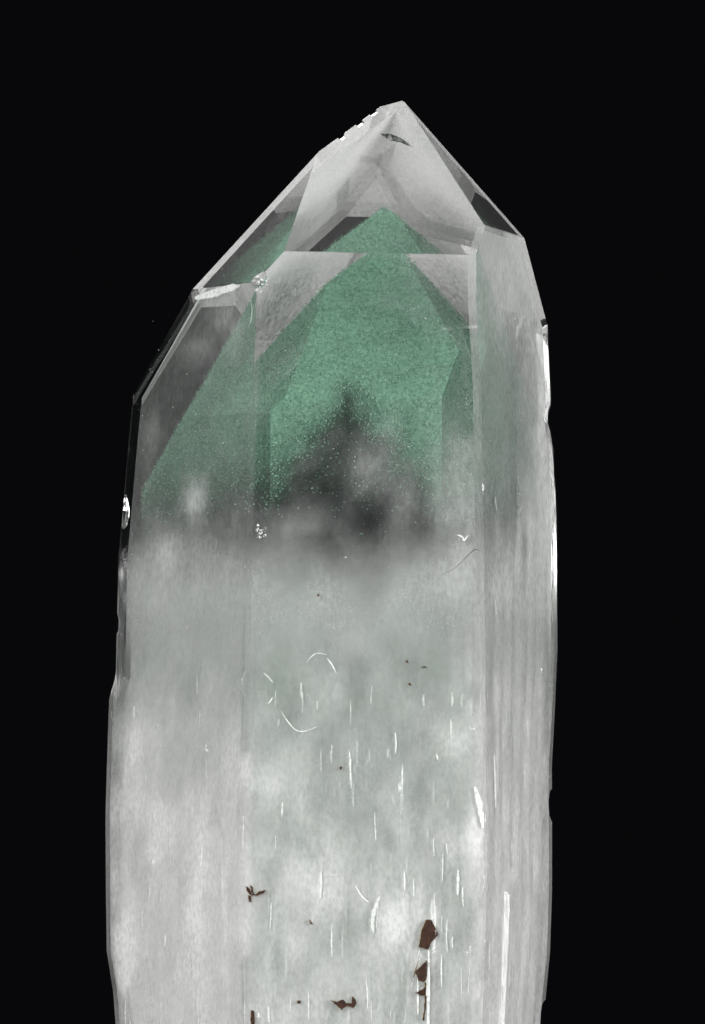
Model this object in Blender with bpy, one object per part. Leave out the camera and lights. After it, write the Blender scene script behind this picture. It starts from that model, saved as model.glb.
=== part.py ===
"""
A quartz point with a green fuchsite phantom sealed inside it.

The crystal is a six-sided prism under six sloping cap faces, cut off flat where it left the rock.
Its faces grew unevenly, so each one has its own distance from the long axis, and that distance
changes up the crystal in swellings, waists and ledges. The phantom is a thin tent of green mica on
an older, smaller tip. The clear quartz round it is parted level at the tent's hem, so that the
tent can be its own solid: the shaft carries the older tip, and the point fits over it.
"""
import math
import random

import bmesh
import bpy
from mathutils import Matrix, Vector

MM = 0.001

# Driving dimensions, in millimetres and degrees
FACE_TURN = {
    "front": -90.0,
    "right": -30.0,
    "back_right": 30.0,
    "back": 90.0,
    "back_left": 150.0,
    "left": 210.0,
}
FACES = list(FACE_TURN)

# How far each prism face stands from the long axis, at heights above the cut base
PRISM_GROWTH = {
    "front": [(0, 15.3), (10, 15.4), (31, 15.05), (50, 14.7), (62, 14.5)],
    "right": [(0, 13.2), (9, 13.7), (17, 13.9), (41, 13.6), (54, 13.35), (60, 13.0)],
    "back_right": [
        (0, 9.8), (9, 11.2), (12, 11.9), (26, 12.3), (31, 13.2), (35, 13.75),
        (46, 13.9), (50, 13.4), (52.3, 12.7), (54, 13.1), (60, 13.15),
    ],
    "back": [(0, 14.2), (12, 15.0), (26, 15.5), (27.5, 15.0), (46, 15.3), (60, 15.2)],
    "back_left": [
        (0, 14.2), (9, 15.0), (12, 15.65), (22, 15.85), (31, 15.6), (32.5, 14.95),
        (41, 14.85), (46, 14.35), (54, 13.56),
    ],
    "left": [(0, 16.9), (12, 17.25), (26, 17.05), (41, 16.65), (50, 16.35), (57, 15.95), (62, 15.78)],
}

# The tilt of a cap face's outward direction from the long axis, and each cap plane's distance from
# the centre of the cut base
CAP_TILT = 51.79
CAP_DISTANCE = {
    "front": 50.62, "right": 50.90, "back_right": 47.23,
    "back": 49.8, "back_left": 43.88, "left": 50.24,
}

# The very tip is broken off: the height of the break, its fall towards the left, and the cutter's
# width and thickness
TIP_BREAK_HEIGHT = 75.45
TIP_BREAK_TILT = -17.0
TIP_BREAK_BLOCK = (8.0, 2.0)

# The phantom's outer faces, the thickness of its mica coat and the height of its hem
PHANTOM_PRISM = {
    "front": 12.3, "right": 10.0, "back_right": 10.8,
    "back": 12.8, "back_left": 12.7, "left": 13.7,
}
PHANTOM_CAP = {
    "front": 42.4, "right": 42.9, "back_right": 40.7,
    "back": 43.2, "back_left": 38.8, "left": 42.7,
}
COAT = 0.5
HEM_HEIGHT = 42.0

# The clearance between touching pieces
GAP = 0.3

# Lengthwise growth grooves on the lower prism: how many each face has, the part of its width that
# they cover, and their depth
GROOVES = {
    "front": (4, 0.62, 0.96, 0.16),
    "right": (6, 0.05, 0.95, 0.26),
    "back_right": (4, 0.08, 0.92, 0.30),
    "back": (4, 0.10, 0.90, 0.22),
    "back_left": (3, 0.12, 0.85, 0.24),
    "left": (3, 0.10, 0.60, 0.18),
}

# The grooves keep their full depth up to the first height and are gone at the second
GROOVE_FADE = (30.0, 46.0)

# Conchoidal nicks in the prism's edges: the two faces, the height, the half length up the edge and
# the bite
EDGE_NICKS = [
    ("front", "right", 21.7, 1.7, 0.40),
    ("front", "right", 46.5, 1.1, 0.30),
    ("right", "back_right", 23.1, 1.1, 0.55),
    ("right", "back_right", 52.4, 1.0, 0.25),
    ("right", "back_right", 7.0, 1.6, 0.40),
    ("back_right", "back", 34.0, 1.9, 0.60),
    ("back_right", "back", 14.5, 2.4, 0.80),
    ("back", "back_left", 45.5, 1.4, 0.45),
    ("back", "back_left", 20.0, 2.2, 0.70),
    ("back_left", "left", 36.5, 1.0, 0.25),
    ("left", "front", 31.5, 1.2, 0.30),
    ("left", "front", 12.5, 1.5, 0.35),
]

# Chips in the broken rim of the base: the face, the place across it, the half width and the bite
RIM_CHIPS = [
    ("front", -8.3, 1.6, 0.7),
    ("front", 5.2, 1.2, 0.5),
    ("right", 3.0, 2.1, 0.9),
    ("back_right", -2.5, 1.8, 0.8),
    ("back", 4.0, 2.4, 0.9),
    ("back_left", 0.5, 1.9, 0.8),
    ("left", -3.5, 1.7, 0.7),
]

# Etched pits: the face, the place across it, the height and the radius
PITS = [
    ("front", 2.86, 12.9, 0.55),
    ("front", 2.27, 9.8, 0.42),
    ("front", -3.39, 8.0, 0.40),
    ("front", -10.1, 15.7, 0.36),
    ("front", -10.0, 7.2, 0.38),
    ("front", 6.2, 28.4, 0.34),
    ("left", -2.6, 18.5, 0.45),
    ("left", 3.4, 27.0, 0.38),
    ("back_left", 2.2, 9.5, 0.50),
    ("back", -3.1, 38.0, 0.42),
    ("back", 2.6, 17.5, 0.55),
    ("right", 4.4, 33.2, 0.36),
]

# Raised growth plates: the face, how far they stand proud, and their outline across and up
PLATES = [
    ("front", 0.22, [(-1.2, 13.4), (0.5, 13.1), (0.8, 14.6), (0.1, 16.1), (-1.0, 15.7)]),
    ("front", 0.20, [(0.4, 2.6), (2.9, 2.2), (2.95, 11.4), (2.2, 12.1), (1.2, 8.6)]),
    ("right", 0.30, [(-5.6, 3.0), (-2.2, 2.6), (-2.0, 15.5), (-3.1, 18.6), (-5.2, 16.8)]),
    ("back_right", 0.35, [(-1.8, 4.0), (3.0, 5.2), (2.6, 18.5), (0.4, 22.4), (-1.4, 19.0)]),
    ("back", 0.35, [(0.6, 6.0), (5.0, 4.6), (5.6, 19.0), (3.2, 23.6), (1.0, 18.2)]),
    ("back", 0.30, [(2.4, 29.5), (5.8, 30.2), (5.5, 37.0), (3.6, 39.4), (2.2, 36.4)]),
    ("back_left", 0.30, [(-5.2, 13.5), (-1.0, 12.8), (-0.9, 24.0), (-3.0, 28.6), (-4.8, 25.6)]),
    ("left", 0.24, [(3.0, 5.6), (5.8, 5.0), (5.6, 21.0), (4.3, 23.4), (3.2, 20.2)]),
]

# How deep a plate is rooted in its face, and how far its top draws in towards its middle
PLATE_ROOT = 0.6
PLATE_BEVEL = 0.18

# Stepped chips up the left flank of the tip: the height, the size, the turn and the bite
TIP_STEPS = [
    (75.0, 0.8, 35.0, 0.20),
    (74.1, 1.0, 60.0, 0.24),
    (73.0, 1.2, 85.0, 0.28),
]
STEP_THICKNESS = 1.0

# The chip at the front left shoulder: its height, radius and bite
SHOULDER_CHIP = (61.2, 0.95, 0.55)

# How far the uncut prism runs past the tip, and how far a cutter overruns the hem
LOFT_TOP = 82.0
OVERRUN = 2.0

SEED = 7


def outward(face):
    """The level direction that a prism face looks in."""
    turn = math.radians(FACE_TURN[face])
    return Vector((math.cos(turn), math.sin(turn), 0.0))


def sideways(face):
    """The level direction along a face, to the right as it is looked at from outside."""
    return Vector((0.0, 0.0, 1.0)).cross(outward(face))


def cap_outward(face):
    """The sloping direction that a cap face looks in."""
    tilt = math.radians(CAP_TILT)
    return outward(face) * math.sin(tilt) + Vector((0.0, 0.0, math.cos(tilt)))


def between(profile, height):
    """Read a profile of heights and distances at one height."""
    if height <= profile[0][0]:
        return profile[0][1]
    for (low, low_value), (high, high_value) in zip(profile, profile[1:]):
        if height <= high:
            share = (height - low) / (high - low)
            return low_value + (high_value - low_value) * share
    return profile[-1][1]


def meeting_point(face_a, distance_a, face_b, distance_b, height):
    """Where two upright planes and a level one meet."""
    a, b = outward(face_a), outward(face_b)
    cross = a.x * b.y - a.y * b.x
    x = (distance_a * b.y - distance_b * a.y) / cross
    y = (distance_b * a.x - distance_a * b.x) / cross
    return Vector((x, y, height))


def edge_point(face_a, face_b, height):
    """A point on the prism edge between two neighbouring faces."""
    distance_a = between(PRISM_GROWTH[face_a], height)
    distance_b = between(PRISM_GROWTH[face_b], height)
    return meeting_point(face_a, distance_a, face_b, distance_b, height)


def face_point(face, across, height):
    """A point on a prism face, given across it from the long axis and up it."""
    level = outward(face) * between(PRISM_GROWTH[face], height) + sideways(face) * across
    return level + Vector((0.0, 0.0, height))


def cap_edge_point(face_a, face_b, height):
    """A point at a height on the edge between two cap faces."""
    tilt = math.radians(CAP_TILT)
    level = [(CAP_DISTANCE[face] - height * math.cos(tilt)) / math.sin(tilt) for face in (face_a, face_b)]
    return meeting_point(face_a, level[0], face_b, level[1], height)


def groove_columns():
    """For each face, the places across it and the depths of its groove lines, uneven as in nature."""
    chance = random.Random(SEED)
    columns = {}
    for face, (count, start, end, depth) in GROOVES.items():
        width = (end - start) / count
        lines = []
        for number in range(count):
            left = start + width * number
            lines.append((left + width * chance.uniform(0.05, 0.2), 0.0))
            lines.append((left + width * chance.uniform(0.5, 0.8), depth * chance.uniform(0.6, 1.0)))
        columns[face] = lines
    return columns


GROOVE_COLUMNS = groove_columns()


def section(height, growth, grooved):
    """One level outline of the crystal, anticlockwise from the front face's left corner."""
    full, none = GROOVE_FADE
    depth_share = min(1.0, max(0.0, (none - height) / (none - full)))
    points = []
    for number, face in enumerate(FACES):
        before, after = FACES[number - 1], FACES[(number + 1) % len(FACES)]
        distance = between(growth[face], height)
        start = meeting_point(before, between(growth[before], height), face, distance, height)
        end = meeting_point(face, distance, after, between(growth[after], height), height)
        points.append(start)
        if grooved:
            for along, depth in GROOVE_COLUMNS[face]:
                points.append(start.lerp(end, along) - outward(face) * depth * depth_share)
    return points


def prism_mesh(low, high, growth, grooved):
    """A closed prism between two heights, with a section at every height where a profile bends."""
    heights = {float(low), float(high)}
    for profile in growth.values():
        heights.update(float(height) for height, _ in profile if low < height < high)
    mesh = bmesh.new()
    rings = []
    for height in sorted(heights):
        rings.append([mesh.verts.new(point) for point in section(height, growth, grooved)])
    for lower, upper in zip(rings, rings[1:]):
        count = len(lower)
        for number in range(count):
            after = (number + 1) % count
            mesh.faces.new((lower[number], lower[after], upper[after], upper[number]))
    mesh.faces.new(list(reversed(rings[0])))
    mesh.faces.new(rings[-1])
    return mesh


def slice_caps(mesh, cap_distance):
    """Cut the top of a prism to the six cap planes."""
    for face in FACES:
        cut = bmesh.ops.bisect_plane(
            mesh,
            geom=mesh.verts[:] + mesh.edges[:] + mesh.faces[:],
            plane_co=cap_outward(face) * cap_distance[face],
            plane_no=cap_outward(face),
            clear_outer=True,
        )
        rim = [item for item in cut["geom_cut"] if isinstance(item, bmesh.types.BMEdge)]
        if rim:
            bmesh.ops.edgeloop_fill(mesh, edges=rim)


def plain_point(prism_distance, cap_distance, low):
    """A flat-faced point with one distance for each face."""
    growth = {face: [(low, prism_distance[face])] for face in FACES}
    mesh = prism_mesh(low, LOFT_TOP, growth, False)
    slice_caps(mesh, cap_distance)
    return mesh


def moved_in(distances, amount):
    return {face: distance - amount for face, distance in distances.items()}


def add_lump(mesh, centre, radii, turn, seed, detail=2):
    """Add a rough rounded cutter, slightly uneven, to a mesh."""
    made = bmesh.ops.create_icosphere(mesh, subdivisions=detail, radius=1.0)
    chance = random.Random(seed)
    frame = Matrix.Translation(centre) @ Matrix.Rotation(math.radians(turn), 4, "Z")
    for vert in made["verts"]:
        wobble = 1.0 + chance.uniform(-0.08, 0.08)
        vert.co = frame @ Vector([value * radius * wobble for value, radius in zip(vert.co, radii)])


def add_block(mesh, centre, x_axis, y_axis, z_axis, sizes):
    """Add a cutter block with the given directions and full sizes."""
    axes = Matrix((x_axis, y_axis, z_axis)).transposed().to_4x4()
    scale = Matrix.Diagonal((*sizes, 1.0))
    bmesh.ops.create_cube(mesh, size=1.0, matrix=Matrix.Translation(centre) @ axes @ scale)


def chip_mesh():
    """All the nicks, rim chips and pits, as one set of cutters that don't touch each other.

    A nick is longer up its edge than it is round. A rim chip bites up into the base's rim. A pit's
    cutter stands a little out of its face, so that the pit is wider than it is deep.
    """
    mesh = bmesh.new()
    for number, (face_a, face_b, height, half_length, bite) in enumerate(EDGE_NICKS):
        away = (outward(face_a) + outward(face_b)).normalized()
        radius = half_length * 0.8
        centre = edge_point(face_a, face_b, height) + away * (radius - bite)
        turn = math.degrees(math.atan2(away.y, away.x))
        add_lump(mesh, centre, (radius, radius * 0.9, half_length * 1.2), turn, SEED + number)
    for number, (face, across, half_width, bite) in enumerate(RIM_CHIPS):
        centre = face_point(face, across, 0.0) + outward(face) * (half_width * 0.5 - bite)
        centre.z = -half_width * 0.35
        radii = (half_width * 0.5, half_width, half_width * 0.7)
        add_lump(mesh, centre, radii, FACE_TURN[face], SEED + 40 + number)
    for number, (face, across, height, radius) in enumerate(PITS):
        centre = face_point(face, across, height) + outward(face) * radius * 0.2
        radii = (radius * 0.9, radius, radius * 1.2)
        add_lump(mesh, centre, radii, FACE_TURN[face], SEED + 80 + number, detail=1)
    return mesh


def tip_chip_mesh():
    """The broken tip, the steps up its left flank and the chipped front shoulder."""
    mesh = bmesh.new()
    up = Matrix.Rotation(math.radians(TIP_BREAK_TILT), 3, "Y") @ Vector((0.0, 0.0, 1.0))
    right = Vector((0.0, 1.0, 0.0)).cross(up)
    broken = cap_edge_point("front", "back_left", TIP_BREAK_HEIGHT)
    width, thickness = TIP_BREAK_BLOCK
    middle = broken + up * thickness / 2
    add_block(mesh, middle, right, up.cross(right), up, (width, width, thickness))

    cap_away = (cap_outward("front") + cap_outward("back_left")).normalized()
    for height, size, turn, bite in TIP_STEPS:
        corner = cap_edge_point("front", "back_left", height)
        x_axis = Matrix.Rotation(math.radians(turn), 3, cap_away) @ cap_away.orthogonal().normalized()
        y_axis = cap_away.cross(x_axis)
        middle = corner + cap_away * (STEP_THICKNESS / 2 - bite)
        add_block(mesh, middle, x_axis, y_axis, cap_away, (size, size * 0.7, STEP_THICKNESS))

    height, radius, bite = SHOULDER_CHIP
    away = (cap_outward("front") + cap_outward("left")).normalized()
    shoulder = edge_point("left", "front", height)
    add_lump(mesh, shoulder + away * (radius - bite), (radius, radius, radius), 0.0, SEED + 120)
    return mesh


def plate_mesh():
    """The raised growth plates, each rooted in its face and drawn in towards its top."""
    mesh = bmesh.new()
    for face, proud, outline in PLATES:
        count = len(outline)
        middle_across = sum(across for across, _ in outline) / count
        middle_height = sum(height for _, height in outline) / count
        base, top = [], []
        for across, height in outline:
            base.append(mesh.verts.new(face_point(face, across, height) - outward(face) * PLATE_ROOT))
            top_across = across + (middle_across - across) * PLATE_BEVEL
            top_height = height + (middle_height - height) * PLATE_BEVEL
            top.append(mesh.verts.new(face_point(face, top_across, top_height) + outward(face) * proud))
        for number in range(count):
            after = (number + 1) % count
            mesh.faces.new((base[number], base[after], top[after], top[number]))
        mesh.faces.new(top)
        mesh.faces.new(list(reversed(base)))
    return mesh


def clear_scene():
    for item in list(bpy.data.objects):
        bpy.data.objects.remove(item, do_unlink=True)


def add_object(name, mesh, parent, material=None):
    """Turn a mesh drawn in millimetres into an object in metres."""
    bmesh.ops.scale(mesh, vec=(MM, MM, MM), verts=mesh.verts)
    bmesh.ops.triangulate(mesh, faces=mesh.faces[:])
    bmesh.ops.recalc_face_normals(mesh, faces=mesh.faces[:])
    data = bpy.data.meshes.new(name)
    mesh.to_mesh(data)
    mesh.free()
    item = bpy.data.objects.new(name, data)
    bpy.context.scene.collection.objects.link(item)
    item.parent = parent
    if material:
        data.materials.append(material)
    return item


def add_guide(name, mesh, parent):
    """A cutter or an addition that only shapes another object."""
    item = add_object(name, mesh, parent)
    item.hide_render = True
    item.display_type = "WIRE"
    return item


def combine(item, operation, other):
    boolean = item.modifiers.new(other.name, "BOOLEAN")
    boolean.operation = operation
    boolean.solver = "EXACT"
    boolean.object = other


def quartz_material():
    material = bpy.data.materials.new("quartz")
    material.use_nodes = True
    shader = material.node_tree.nodes["Principled BSDF"]
    shader.inputs["Base Color"].default_value = (0.86, 0.88, 0.87, 1.0)
    shader.inputs["Roughness"].default_value = 0.08
    shader.inputs["Metallic"].default_value = 0.0
    shader.inputs["IOR"].default_value = 1.544
    shader.inputs["Transmission Weight"].default_value = 0.9
    material.diffuse_color = (0.80, 0.83, 0.82, 0.45)
    return material


def fuchsite_material():
    material = bpy.data.materials.new("fuchsite")
    material.use_nodes = True
    shader = material.node_tree.nodes["Principled BSDF"]
    shader.inputs["Base Color"].default_value = (0.13, 0.30, 0.21, 1.0)
    shader.inputs["Roughness"].default_value = 0.45
    shader.inputs["Metallic"].default_value = 0.0
    material.diffuse_color = (0.22, 0.45, 0.33, 1.0)
    return material


def build():
    clear_scene()
    quartz = quartz_material()
    fuchsite = fuchsite_material()

    shaft_mesh = prism_mesh(0.0, HEM_HEIGHT - GAP / 2, PRISM_GROWTH, True)
    point_mesh = prism_mesh(HEM_HEIGHT + GAP / 2, LOFT_TOP, PRISM_GROWTH, True)
    slice_caps(point_mesh, CAP_DISTANCE)

    # The origin is the middle of the crystal's box, on the cut base
    xs = [vert.co.x for vert in shaft_mesh.verts[:] + point_mesh.verts[:]]
    ys = [vert.co.y for vert in shaft_mesh.verts[:] + point_mesh.verts[:]]
    axis = bpy.data.objects.new("crystal_axis", None)
    axis.location = (-(max(xs) + min(xs)) / 2 * MM, -(max(ys) + min(ys)) / 2 * MM, 0.0)
    bpy.context.scene.collection.objects.link(axis)

    chips = add_guide("chips", chip_mesh(), axis)
    tip_chips = add_guide("tip_chips", tip_chip_mesh(), axis)

    older_prism = moved_in(PHANTOM_PRISM, COAT + GAP)
    older_cap = moved_in(PHANTOM_CAP, COAT + GAP)
    older_tip = add_guide("older_tip", plain_point(older_prism, older_cap, HEM_HEIGHT - OVERRUN), axis)
    shaft = add_object("quartz_shaft", shaft_mesh, axis, quartz)
    combine(shaft, "UNION", add_guide("plates", plate_mesh(), axis))
    combine(shaft, "DIFFERENCE", chips)
    combine(shaft, "UNION", older_tip)

    pocket_prism = moved_in(PHANTOM_PRISM, -GAP)
    pocket_cap = moved_in(PHANTOM_CAP, -GAP)
    pocket = add_guide("pocket", plain_point(pocket_prism, pocket_cap, HEM_HEIGHT - OVERRUN), axis)
    point = add_object("quartz_point", point_mesh, axis, quartz)
    combine(point, "DIFFERENCE", chips)
    combine(point, "DIFFERENCE", tip_chips)
    combine(point, "DIFFERENCE", pocket)

    inner_prism = moved_in(PHANTOM_PRISM, COAT)
    inner_cap = moved_in(PHANTOM_CAP, COAT)
    hollow = add_guide("phantom_hollow", plain_point(inner_prism, inner_cap, HEM_HEIGHT - OVERRUN), axis)
    tent_mesh = plain_point(PHANTOM_PRISM, PHANTOM_CAP, HEM_HEIGHT + GAP / 2)
    phantom = add_object("fuchsite_phantom", tent_mesh, axis, fuchsite)
    combine(phantom, "DIFFERENCE", hollow)


build()
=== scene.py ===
"""
The looks of a quartz point with a green fuchsite phantom inside: the clear skin, the mica tent, the
milky root with its veils and cracks, the iron stains, and the studio round them.
"""
import math
import random

import bmesh
import bpy
from mathutils import Matrix, Vector, noise


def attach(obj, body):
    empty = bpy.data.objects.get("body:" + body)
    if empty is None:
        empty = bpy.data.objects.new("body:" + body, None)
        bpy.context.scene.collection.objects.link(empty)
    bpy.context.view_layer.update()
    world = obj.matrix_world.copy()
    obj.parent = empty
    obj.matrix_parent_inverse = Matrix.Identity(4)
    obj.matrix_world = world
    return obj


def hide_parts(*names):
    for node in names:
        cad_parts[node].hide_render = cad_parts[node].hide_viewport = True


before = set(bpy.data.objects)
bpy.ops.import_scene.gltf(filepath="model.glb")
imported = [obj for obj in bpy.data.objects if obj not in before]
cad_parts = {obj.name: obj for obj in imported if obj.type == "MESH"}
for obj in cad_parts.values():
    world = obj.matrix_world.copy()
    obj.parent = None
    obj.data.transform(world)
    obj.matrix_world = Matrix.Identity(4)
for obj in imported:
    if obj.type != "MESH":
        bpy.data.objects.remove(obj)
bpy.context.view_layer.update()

# The quartz skin.
# The real crystal is one piece of quartz that grew on rock: a six-sided prism under six sloping cap
# faces, glassy above, finely furrowed lengthwise below, nicked along its edges and cut flat below.
MM = 0.001
FACE_TURN = {
    "front": -90.0,
    "right": -30.0,
    "back_right": 30.0,
    "back": 90.0,
    "back_left": 150.0,
    "left": 210.0,
}
FACES = list(FACE_TURN)

# How far each prism face stands from the long axis, at heights above the cut base, in millimetres
PRISM_GROWTH = {
    "front": [(0, 15.3), (10, 15.4), (31, 15.05), (50, 14.7), (62, 14.5)],
    "right": [(0, 13.2), (9, 13.7), (17, 13.9), (41, 13.6), (54, 13.35), (60, 13.0)],
    "back_right": [
        (0, 9.8), (9, 11.2), (12, 11.9), (26, 12.3), (31, 13.2), (35, 13.75),
        (46, 13.9), (50, 13.4), (52.3, 12.7), (54, 13.1), (60, 13.15),
    ],
    "back": [(0, 14.2), (12, 15.0), (26, 15.5), (27.5, 15.0), (46, 15.3), (60, 15.2)],
    "back_left": [
        (0, 14.2), (9, 15.0), (12, 15.65), (22, 15.85), (31, 15.6), (32.5, 14.95),
        (41, 14.85), (46, 14.35), (54, 13.56),
    ],
    "left": [(0, 16.9), (12, 17.25), (26, 17.05), (41, 16.65), (50, 16.35), (57, 15.95), (62, 15.78)],
}

# The tilt of a cap face's outward direction, and each cap plane's distance from the base's centre
CAP_TILT = 51.79
CAP_DISTANCE = {
    "front": 50.62, "right": 50.90, "back_right": 47.23,
    "back": 49.8, "back_left": 43.88, "left": 50.24,
}
TIP_BREAK_HEIGHT = 75.45
TIP_BREAK_TILT = -17.0
TIP_BREAK_BLOCK = (8.0, 2.0)

# Lengthwise grooves: their number on each face, the part of its width that they cover, their depth
GROOVES = {
    "front": (4, 0.62, 0.96, 0.16),
    "right": (6, 0.05, 0.95, 0.26),
    "back_right": (4, 0.08, 0.92, 0.30),
    "back": (4, 0.10, 0.90, 0.22),
    "back_left": (3, 0.12, 0.85, 0.24),
    "left": (3, 0.10, 0.60, 0.18),
}
GROOVE_FADE = (30.0, 46.0)

# Nicks in the edges: the two faces, the height, the half length up the edge and the bite
EDGE_NICKS = [
    ("front", "right", 21.7, 1.7, 0.40),
    ("front", "right", 46.5, 1.1, 0.30),
    ("right", "back_right", 23.1, 1.1, 0.55),
    ("right", "back_right", 52.4, 1.0, 0.25),
    ("right", "back_right", 7.0, 1.6, 0.40),
    ("back_right", "back", 34.0, 1.9, 0.60),
    ("back_right", "back", 14.5, 2.4, 0.80),
    ("back", "back_left", 45.5, 1.4, 0.45),
    ("back", "back_left", 20.0, 2.2, 0.70),
    ("back_left", "left", 36.5, 1.0, 0.25),
    ("left", "front", 31.5, 1.2, 0.30),
    ("left", "front", 12.5, 1.5, 0.35),
]

# Chips in the rim of the base: the face, the place across it, the half width and the bite
RIM_CHIPS = [
    ("front", -8.3, 1.6, 0.7),
    ("front", 5.2, 1.2, 0.5),
    ("right", 3.0, 2.1, 0.9),
    ("back_right", -2.5, 1.8, 0.8),
    ("back", 4.0, 2.4, 0.9),
    ("back_left", 0.5, 1.9, 0.8),
    ("left", -3.5, 1.7, 0.7),
]

# Etched pits: the face, the place across it, the height and the radius
PITS = [
    ("front", 2.86, 12.9, 0.55),
    ("front", 2.27, 9.8, 0.42),
    ("front", -3.39, 8.0, 0.40),
    ("front", -10.1, 15.7, 0.36),
    ("front", -10.0, 7.2, 0.38),
    ("front", 6.2, 28.4, 0.34),
    ("left", -2.6, 18.5, 0.45),
    ("left", 3.4, 27.0, 0.38),
    ("back_left", 2.2, 9.5, 0.50),
    ("back", -3.1, 38.0, 0.42),
    ("back", 2.6, 17.5, 0.55),
    ("right", 4.4, 33.2, 0.36),
]

# Raised growth plates: the face, how far they stand proud, and their outline across and up
PLATES = [
    ("front", 0.22, [(-1.2, 13.4), (0.5, 13.1), (0.8, 14.6), (0.1, 16.1), (-1.0, 15.7)]),
    ("front", 0.20, [(0.4, 2.6), (2.9, 2.2), (2.95, 11.4), (2.2, 12.1), (1.2, 8.6)]),
    ("right", 0.30, [(-5.6, 3.0), (-2.2, 2.6), (-2.0, 15.5), (-3.1, 18.6), (-5.2, 16.8)]),
    ("back_right", 0.35, [(-1.8, 4.0), (3.0, 5.2), (2.6, 18.5), (0.4, 22.4), (-1.4, 19.0)]),
    ("back", 0.35, [(0.6, 6.0), (5.0, 4.6), (5.6, 19.0), (3.2, 23.6), (1.0, 18.2)]),
    ("back", 0.30, [(2.4, 29.5), (5.8, 30.2), (5.5, 37.0), (3.6, 39.4), (2.2, 36.4)]),
    ("back_left", 0.30, [(-5.2, 13.5), (-1.0, 12.8), (-0.9, 24.0), (-3.0, 28.6), (-4.8, 25.6)]),
    ("left", 0.24, [(3.0, 5.6), (5.8, 5.0), (5.6, 21.0), (4.3, 23.4), (3.2, 20.2)]),
]
PLATE_ROOT = 0.6
PLATE_BEVEL = 0.12

# Stepped chips up the tip's left flank: the height, the size, the turn and the bite
TIP_STEPS = [
    (75.0, 0.8, 35.0, 0.20),
    (74.1, 1.0, 60.0, 0.24),
    (73.0, 1.2, 85.0, 0.28),
]
STEP_THICKNESS = 1.0
SHOULDER_CHIP = (61.2, 0.95, 0.55)

# Fine furrows on the lower faces: how many cross a face, how fast they change upwards, where their
# pattern starts, and their depth. They fade out upwards and are gone at the edges
FURROWS = [
    (38.0, 0.10, 0.0, 0.075),
    (90.0, 0.22, 4.0, 0.040),
    (4.0, 0.16, 8.0, 0.060),
]
FURROW_DEPTH = 0.075
FURROW_FADE = (22.0, 47.0)
FURROW_EDGE = 1.0 / 14.0
FACE_SHIFT = 9.1
GROOVE_UNEVEN = (0.65, 0.7)

# The skin's mesh: the columns of a face, the step between levels where it is furrowed, and the
# height above which the faces are mirror flat
SKIN_COLUMNS = 44
SKIN_STEP = 0.7
FURROW_TOP = 49.0

# How far the upright edges and the ridges between the caps are worn. The ridge between the left
# and front caps is left keen
EDGE_WEAR = 0.05
RIDGE_WEAR = 0.016
RIDGE_HEIGHT = 70.0
SHOULDER_HEIGHT = 61.0
RIDGES = list(zip(FACES, FACES[1:])) + [("front", "back_left"), ("front", "back_right")]
LOFT_TOP = 82.0
SEED = 7


def outward(face):
    turn = math.radians(FACE_TURN[face])
    return Vector((math.cos(turn), math.sin(turn), 0.0))


def sideways(face):
    return Vector((0.0, 0.0, 1.0)).cross(outward(face))


def cap_outward(face):
    tilt = math.radians(CAP_TILT)
    return outward(face) * math.sin(tilt) + Vector((0.0, 0.0, math.cos(tilt)))


def between(profile, height):
    """Read a profile of heights and values at one height."""
    if height <= profile[0][0]:
        return profile[0][1]
    for (low, low_value), (high, high_value) in zip(profile, profile[1:]):
        if height <= high:
            share = (height - low) / (high - low)
            return low_value + (high_value - low_value) * share
    return profile[-1][1]


def smooth_share(low, high, value):
    """Rise smoothly from 0 at low to 1 at high."""
    share = min(1.0, max(0.0, (value - low) / (high - low)))
    return share * share * (3.0 - 2.0 * share)


def meeting_point(face_a, distance_a, face_b, distance_b, height):
    """Where two upright planes and a level one meet."""
    a, b = outward(face_a), outward(face_b)
    cross = a.x * b.y - a.y * b.x
    x = (distance_a * b.y - distance_b * a.y) / cross
    y = (distance_b * a.x - distance_a * b.x) / cross
    return Vector((x, y, height))


def edge_point(face_a, face_b, height):
    distance_a = between(PRISM_GROWTH[face_a], height)
    distance_b = between(PRISM_GROWTH[face_b], height)
    return meeting_point(face_a, distance_a, face_b, distance_b, height)


def face_point(face, across, height):
    level = outward(face) * between(PRISM_GROWTH[face], height) + sideways(face) * across
    return level + Vector((0.0, 0.0, height))


def cap_edge_point(face_a, face_b, height):
    tilt = math.radians(CAP_TILT)
    level = [(CAP_DISTANCE[face] - height * math.cos(tilt)) / math.sin(tilt) for face in (face_a, face_b)]
    return meeting_point(face_a, level[0], face_b, level[1], height)


def groove_lines():
    """For each face, the places across it and the depths of its main grooves."""
    chance = random.Random(SEED)
    lines = {}
    for face, (count, start, end, depth) in GROOVES.items():
        width = (end - start) / count
        places = [(0.0, 0.0)]
        for number in range(count):
            left = start + width * number
            places.append((left + width * chance.uniform(0.05, 0.2), 0.0))
            places.append((left + width * chance.uniform(0.5, 0.8), depth * chance.uniform(0.6, 1.0)))
        places.append((1.0, 0.0))
        lines[face] = places
    return lines


GROOVE_LINES = groove_lines()


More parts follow.
